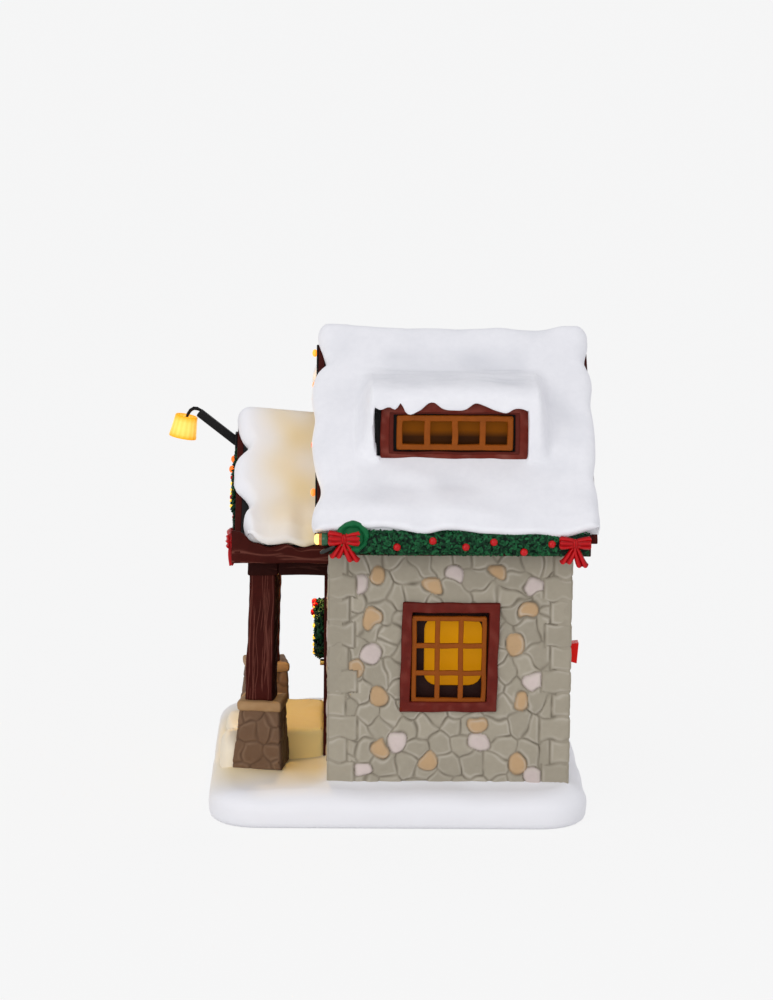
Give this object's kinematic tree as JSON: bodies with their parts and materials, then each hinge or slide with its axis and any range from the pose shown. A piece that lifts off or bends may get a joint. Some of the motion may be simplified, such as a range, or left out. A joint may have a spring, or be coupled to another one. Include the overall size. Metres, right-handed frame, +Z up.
{
  "type": "lighted christmas village house",
  "caption": "Lighted village house: stone walls under a snowy roof with dormers, timber porch on piers, sign lamp, garlands with bows, rocker switch and battery hatch underneath.",
  "frame": {"origin": "centre of the base's underside, on the surface the house stands on", "axes": "+Z up, -Y towards the front with porch and door, +X to the right of someone facing the back of the scene from the front, ridge along Y"},
  "size_m": [0.1712, 0.1698, 0.1876],
  "materials": {
    "snow": "matt white paint",
    "stone": "matt, hand-painted stones in grey, tan and pink",
    "timber": "satin dark red-brown paint over a wood grain",
    "frame_red": "satin red-brown paint",
    "grid_brown": "satin orange-brown",
    "pane_yellow": "translucent, lit from behind",
    "roof_black": "matt black paint",
    "garland_green": "satin paint, dark in the hollows",
    "berry_red": "gloss paint",
    "ribbon_red": "satin paint",
    "pier_brown": "matt, stones in brown",
    "cap_tan": "matt tan paint",
    "door_wood": "satin brown paint over a wood grain",
    "knob_brass": "polished",
    "lamp_black": "satin black",
    "shade_yellow": "translucent, lit from inside",
    "socket_green": "gloss",
    "bulb_warm": "clear, lit",
    "wire_black": "satin",
    "switch_black": "satin",
    "switch_red": "gloss",
    "plate_black": "fine moulded grain",
    "steel": "bright",
    "cell_grey": "plain sleeve",
    "board_green": "board green"
  },
  "bodies": {
    "house": {"back_barge_boards": "timber", "base_plate": "plate_black", "base_plate_screws": "steel", "battery_box": "plate_black", "battery_cells": "cell_grey", "battery_contacts": "steel", "battery_hatch_pin": "steel", "battery_springs": "steel", "bows": "ribbon_red", "door_knob": "knob_brass", "door_leaf": "door_wood", "dormer_frame_left": "frame_red", "dormer_frame_right": "frame_red", "dormer_grid_left": "grid_brown", "dormer_grid_right": "grid_brown", "dormer_left": "roof_black", "dormer_panes": "pane_yellow", "dormer_right": "roof_black", "eave_fascias": "timber", "front_barge_boards": "timber", "front_facing": "timber", "gable_light_bulbs": "bulb_warm", "gable_light_sockets": "socket_green", "gable_light_wire": "wire_black", "garland_berries": "berry_red", "garland_left": "garland_green", "garland_right": "garland_green", "lamp_arm": "lamp_black", "lamp_shade": "shade_yellow", "led_post": "board_green", "leds": "bulb_warm", "pier_caps": "cap_tan", "porch_barge_boards": "timber", "porch_beams": "timber", "porch_ceiling": "timber", "porch_fascias": "timber", "porch_gable": "timber", "porch_garland": "garland_green", "porch_pier_left": "pier_brown", "porch_pier_right": "pier_brown", "porch_post_left": "timber", "porch_post_right": "timber", "porch_roof_boards": "roof_black", "porch_slab": "snow", "porch_snow": "snow", "roof_boards": "roof_black", "roof_snow": "snow", "sign_board": "door_wood", "snow_base": "snow", "switch_housing": "switch_black", "wall_shell": "stone", "window_frame_left": "frame_red", "window_frame_right": "frame_red", "window_grid_left": "grid_brown", "window_grid_right": "grid_brown", "window_panes": "pane_yellow", "wiring": "wire_black", "wreath": "garland_green"},
    "battery_hatch": {"battery_hatch": "plate_black"},
    "switch_rocker": {"switch_rocker": "switch_red"}
  },
  "joints": [
    {"name": "hatch_hinge", "type": "hinge", "parent": "house", "child": "battery_hatch", "pos_m": [0, 0.0102, 0.0019], "axis": [-1, 0, 0], "range_deg": [0, 90]},
    {"name": "rocker_hinge", "type": "hinge", "parent": "house", "child": "switch_rocker", "pos_m": [0.042, 0.0671, 0.0625], "axis": [1, 0, 0], "range_deg": [0, 9]}
  ]
}
